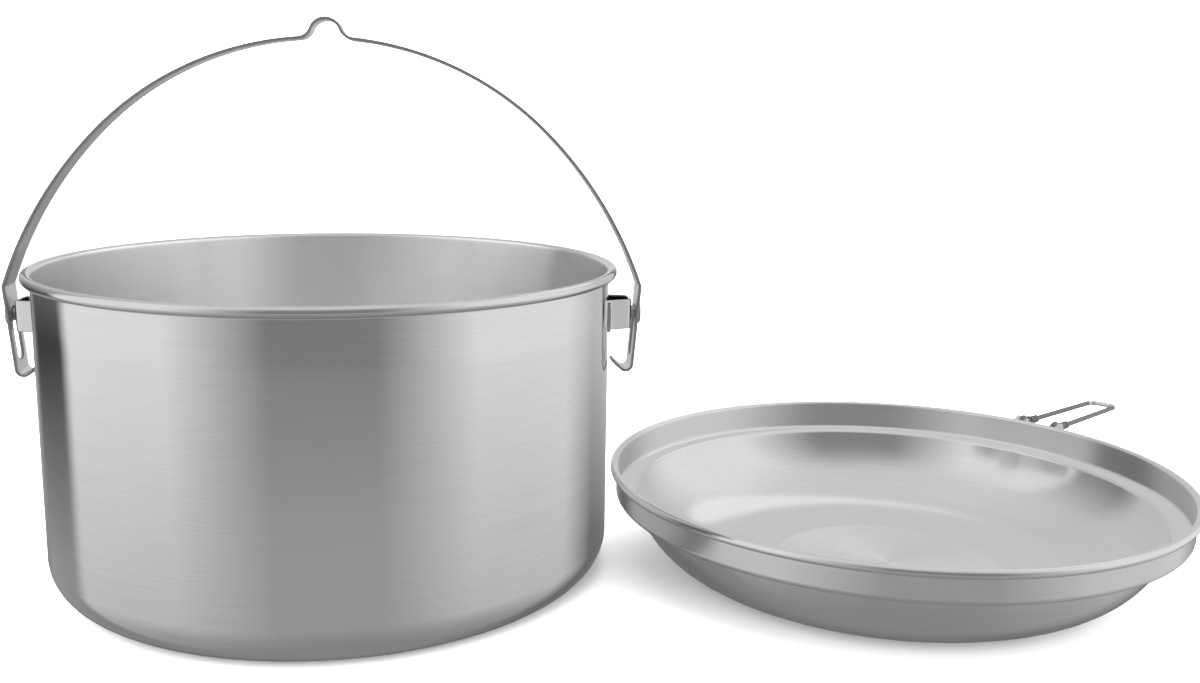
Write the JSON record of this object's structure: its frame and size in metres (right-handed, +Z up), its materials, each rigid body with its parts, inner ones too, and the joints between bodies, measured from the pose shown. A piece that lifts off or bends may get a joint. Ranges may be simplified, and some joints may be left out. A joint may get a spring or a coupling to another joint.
{
  "type": "camping kettle",
  "caption": "Stainless steel camp-style brewing kettle: straight pot with rolled rim, slotted strap bail on ear rivets, and a pan-shaped lid with a folding wire handle.",
  "frame": {"origin": "centre of the pot's base, on the surface that the pot stands on", "axes": "+Z up along the pot's axis, +X from the pot's axis through the right ear, roughly towards the lid standing beside the pot"},
  "size_m": [0.5079, 0.254, 0.218],
  "materials": {
    "pot_steel": "fine brushing round the pot",
    "ear_steel": "polished",
    "rivet_steel": "turned and dulled",
    "strap_steel": "satin, brushed along the strap, with darker cut edges",
    "lid_steel": "fine brushing round the lid, spun floor",
    "bracket_steel": "pressed, tumbled",
    "wire_steel": "polished wire",
    "sleeve_steel": "dulled, crimped"
  },
  "bodies": {
    "pot": {"pot_shell": "pot_steel", "right_ear": "ear_steel", "left_ear": "ear_steel"},
    "bail_rivets": {"right_pivot_pin": "rivet_steel", "left_pivot_pin": "rivet_steel"},
    "bail": {"bail_strap": "strap_steel"},
    "lid": {"lid_pan": "lid_steel", "handle_bracket": "bracket_steel", "handle_pin_front": "rivet_steel", "handle_pin_back": "rivet_steel"},
    "lid_handle": {"handle_wire": "wire_steel", "handle_sleeve_front": "sleeve_steel", "handle_sleeve_back": "sleeve_steel"}
  },
  "joints": [
    {"name": "bail_swing", "type": "hinge", "parent": "pot", "child": "bail_rivets", "pos_m": [0, 0, 0.10345], "axis": [1, 0, 0], "range_deg": [-55, 55]},
    {"name": "bail_slide", "type": "slide", "parent": "bail_rivets", "child": "bail", "axis": [0, 0, 1], "range_m": [0, 0.007]},
    {"name": "lid_lift", "type": "slide", "parent": "pot", "child": "lid", "axis": [0.7071, 0, 0.7071], "range_m": [0, 0.25]},
    {"name": "lid_handle_fold", "type": "hinge", "parent": "lid", "child": "lid_handle", "pos_m": [0.32578, 0.04737, 0.0395], "axis": [0.5878, -0.809, 0], "range_deg": [0, 130]}
  ]
}
